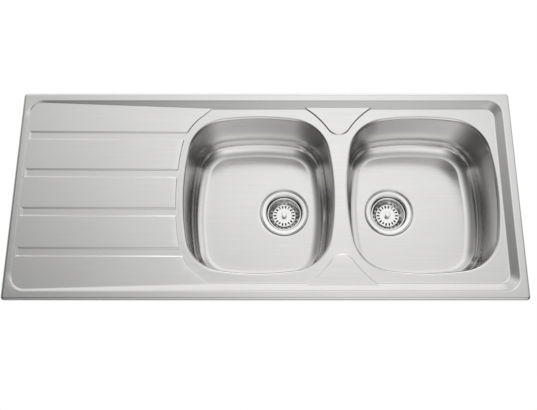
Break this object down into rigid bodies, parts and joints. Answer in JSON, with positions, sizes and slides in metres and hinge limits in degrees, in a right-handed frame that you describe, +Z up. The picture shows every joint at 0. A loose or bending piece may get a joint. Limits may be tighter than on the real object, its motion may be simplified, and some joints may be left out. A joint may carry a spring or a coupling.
{
  "type": "inset kitchen sink with drainer",
  "caption": "Pressed steel inset sink with two bowls, a grooved drainer, lift-out basket strainers, an overflow and rim clips that clamp it into a worktop opening.",
  "frame": {"origin": "plan centre of the sink at the level of the worktop on which its rim rests", "axes": "+X along the worktop from the drainer to the bowls, +Y away from the user, +Z up"},
  "size_m": [1.16, 0.5, 0.257],
  "materials": {
    "satin_steel": "satin",
    "polished_steel": "polished",
    "zinc_plate": "zinc plated",
    "seal_rubber": "matt",
    "foam_strip": "matt",
    "bitumen_pad": "matt",
    "moulded_plastic": "satin"
  },
  "bodies": {
    "sink": {"deck": "satin_steel", "earth_tag": "zinc_plate", "sealing_strip": "foam_strip", "overflow_gasket": "seal_rubber", "overflow_housing": "moulded_plastic", "overflow_studs": "zinc_plate", "overflow_nuts": "zinc_plate", "overflow_pipe": "moulded_plastic", "overflow_pipe_seals": "seal_rubber", "overflow_union_nuts": "moulded_plastic", "clip_brackets": "zinc_plate", "left_bowl": "satin_steel", "left_sound_pad": "bitumen_pad", "left_cup_seal": "seal_rubber", "left_strainer_cup": "polished_steel", "left_body_seal": "seal_rubber", "left_waste_body": "moulded_plastic", "left_clamp_bolt": "polished_steel", "right_bowl": "satin_steel", "right_sound_pad": "bitumen_pad", "right_cup_seal": "seal_rubber", "right_strainer_cup": "polished_steel", "right_body_seal": "seal_rubber", "right_waste_body": "moulded_plastic", "right_clamp_bolt": "polished_steel"},
    "left_basket": {"left_basket": "polished_steel", "left_basket_knob": "polished_steel", "left_basket_seal": "seal_rubber"},
    "right_basket": {"right_basket": "polished_steel", "right_basket_knob": "polished_steel", "right_basket_seal": "seal_rubber"},
    "clip_screw_1": {"clip_screw_1": "zinc_plate"},
    "clip_claw_1": {"clip_claw_1": "zinc_plate"},
    "clip_screw_2": {"clip_screw_2": "zinc_plate"},
    "clip_claw_2": {"clip_claw_2": "zinc_plate"},
    "clip_screw_3": {"clip_screw_3": "zinc_plate"},
    "clip_claw_3": {"clip_claw_3": "zinc_plate"},
    "clip_screw_4": {"clip_screw_4": "zinc_plate"},
    "clip_claw_4": {"clip_claw_4": "zinc_plate"},
    "clip_screw_5": {"clip_screw_5": "zinc_plate"},
    "clip_claw_5": {"clip_claw_5": "zinc_plate"},
    "clip_screw_6": {"clip_screw_6": "zinc_plate"},
    "clip_claw_6": {"clip_claw_6": "zinc_plate"},
    "clip_screw_7": {"clip_screw_7": "zinc_plate"},
    "clip_claw_7": {"clip_claw_7": "zinc_plate"},
    "clip_screw_8": {"clip_screw_8": "zinc_plate"},
    "clip_claw_8": {"clip_claw_8": "zinc_plate"}
  },
  "joints": [
    {"name": "left_basket_lift", "type": "slide", "parent": "sink", "child": "left_basket", "axis": [0, 0, 1], "range_m": [0, 0.22]},
    {"name": "right_basket_lift", "type": "slide", "parent": "sink", "child": "right_basket", "axis": [0, 0, 1], "range_m": [0, 0.22]},
    {"name": "clip_1_turn", "type": "hinge", "parent": "sink", "child": "clip_screw_1", "pos_m": [-0.4, -0.227, 0], "axis": [0, 0, -1], "range_deg": [0, 90]},
    {"name": "clip_1_climb", "type": "slide", "parent": "clip_screw_1", "child": "clip_claw_1", "axis": [0, 0, 1], "range_m": [0, 0.012]},
    {"name": "clip_2_turn", "type": "hinge", "parent": "sink", "child": "clip_screw_2", "pos_m": [0, -0.227, 0], "axis": [0, 0, -1], "range_deg": [0, 90]},
    {"name": "clip_2_climb", "type": "slide", "parent": "clip_screw_2", "child": "clip_claw_2", "axis": [0, 0, 1], "range_m": [0, 0.012]},
    {"name": "clip_3_turn", "type": "hinge", "parent": "sink", "child": "clip_screw_3", "pos_m": [0.4, -0.227, 0], "axis": [0, 0, -1], "range_deg": [0, 90]},
    {"name": "clip_3_climb", "type": "slide", "parent": "clip_screw_3", "child": "clip_claw_3", "axis": [0, 0, 1], "range_m": [0, 0.012]},
    {"name": "clip_4_turn", "type": "hinge", "parent": "sink", "child": "clip_screw_4", "pos_m": [0.557, 0, 0], "axis": [0, 0, -1], "range_deg": [0, 90]},
    {"name": "clip_4_climb", "type": "slide", "parent": "clip_screw_4", "child": "clip_claw_4", "axis": [0, 0, 1], "range_m": [0, 0.012]},
    {"name": "clip_5_turn", "type": "hinge", "parent": "sink", "child": "clip_screw_5", "pos_m": [0.4, 0.227, 0], "axis": [0, 0, -1], "range_deg": [0, 90]},
    {"name": "clip_5_climb", "type": "slide", "parent": "clip_screw_5", "child": "clip_claw_5", "axis": [0, 0, 1], "range_m": [0, 0.012]},
    {"name": "clip_6_turn", "type": "hinge", "parent": "sink", "child": "clip_screw_6", "pos_m": [0, 0.227, 0], "axis": [0, 0, -1], "range_deg": [0, 90]},
    {"name": "clip_6_climb", "type": "slide", "parent": "clip_screw_6", "child": "clip_claw_6", "axis": [0, 0, 1], "range_m": [0, 0.012]},
    {"name": "clip_7_turn", "type": "hinge", "parent": "sink", "child": "clip_screw_7", "pos_m": [-0.4, 0.227, 0], "axis": [0, 0, -1], "range_deg": [0, 90]},
    {"name": "clip_7_climb", "type": "slide", "parent": "clip_screw_7", "child": "clip_claw_7", "axis": [0, 0, 1], "range_m": [0, 0.012]},
    {"name": "clip_8_turn", "type": "hinge", "parent": "sink", "child": "clip_screw_8", "pos_m": [-0.557, 0, 0], "axis": [0, 0, -1], "range_deg": [0, 90]},
    {"name": "clip_8_climb", "type": "slide", "parent": "clip_screw_8", "child": "clip_claw_8", "axis": [0, 0, 1], "range_m": [0, 0.012]}
  ]
}
